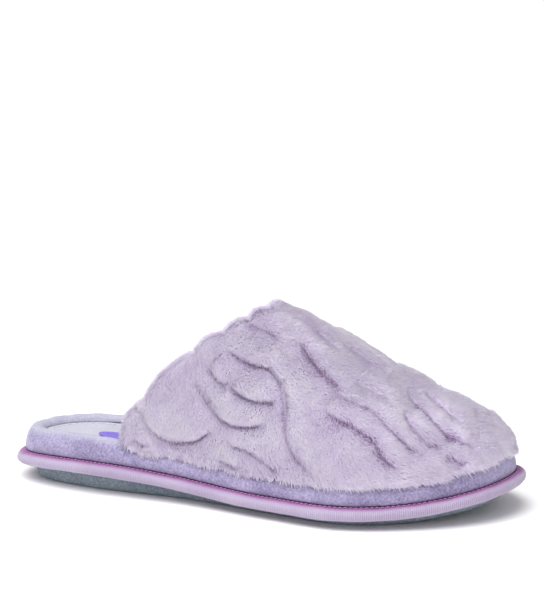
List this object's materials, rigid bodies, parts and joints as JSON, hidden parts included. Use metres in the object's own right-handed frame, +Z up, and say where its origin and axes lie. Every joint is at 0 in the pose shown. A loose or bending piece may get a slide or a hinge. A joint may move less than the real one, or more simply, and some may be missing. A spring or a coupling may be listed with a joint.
{
  "type": "house slipper",
  "caption": "Backless plush house slipper for the right foot: a soft wedge sole with a padded footbed, and a deep-pile upper over the toes and instep.",
  "frame": {"origin": "on the floor, under the middle of the slipper's bounding box", "axes": "+X from heel to toe, +Y to the inner side of the foot, +Z up"},
  "size_m": [0.265, 0.1056, 0.0951],
  "materials": {
    "plush_lilac": "deep brushed pile, matte",
    "velour_lavender": "short pile velour, matte with a soft sheen",
    "sock_grey_lavender": "brushed short pile, matte",
    "binding_tape": "ribbed grosgrain tape, slight sheen",
    "outsole_rubber": "moulded foam rubber, finely pebbled, matte",
    "foam": "open foam, matte",
    "board": "pressed fibre board, matte",
    "label_violet": "flat bonded label, satin",
    "thread": "twisted polyester thread, satin"
  },
  "bodies": {
    "root": {"outsole": "outsole_rubber", "midsole_foam": "foam", "rim_binding": "binding_tape", "binding_thread": "thread", "insole_board": "board", "footbed_foam": "foam", "memory_foam_pad": "foam", "sidewall_cover": "velour_lavender", "sock_lining": "sock_grey_lavender", "sock_thread": "thread", "insole_label": "label_violet", "hem_seam_thread": "thread", "upper_plush": "plush_lilac", "upper_interlining": "foam", "upper_lining": "sock_grey_lavender", "throat_facing": "plush_lilac"}
  },
  "joints": []
}
